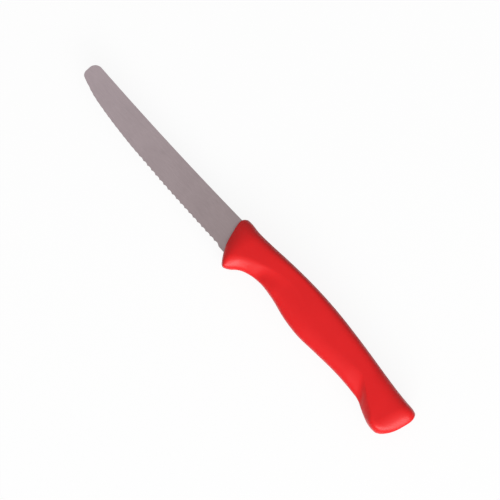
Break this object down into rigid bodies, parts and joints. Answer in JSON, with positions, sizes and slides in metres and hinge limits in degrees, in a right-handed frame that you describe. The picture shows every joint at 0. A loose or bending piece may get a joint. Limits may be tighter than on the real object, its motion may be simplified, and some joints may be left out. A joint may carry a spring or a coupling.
{
  "type": "tomato knife",
  "caption": "Small kitchen knife with a round-ended serrated steel blade and a contoured moulded plastic handle.",
  "frame": {"origin": "middle of the knife's box, on the surface that it lies on with its right side down", "axes": "+X from the blade's tip to the handle's butt, +Y from the cutting edge to the spine, +Z out of the blade's left face"},
  "size_m": [0.227, 0.0262, 0.015],
  "materials": {
    "blade_steel": "satin, with a fine grain along the blade",
    "handle_plastic": "red, soft gloss as moulded"
  },
  "bodies": {
    "root": {"blade": "blade_steel", "handle": "handle_plastic"}
  },
  "joints": []
}
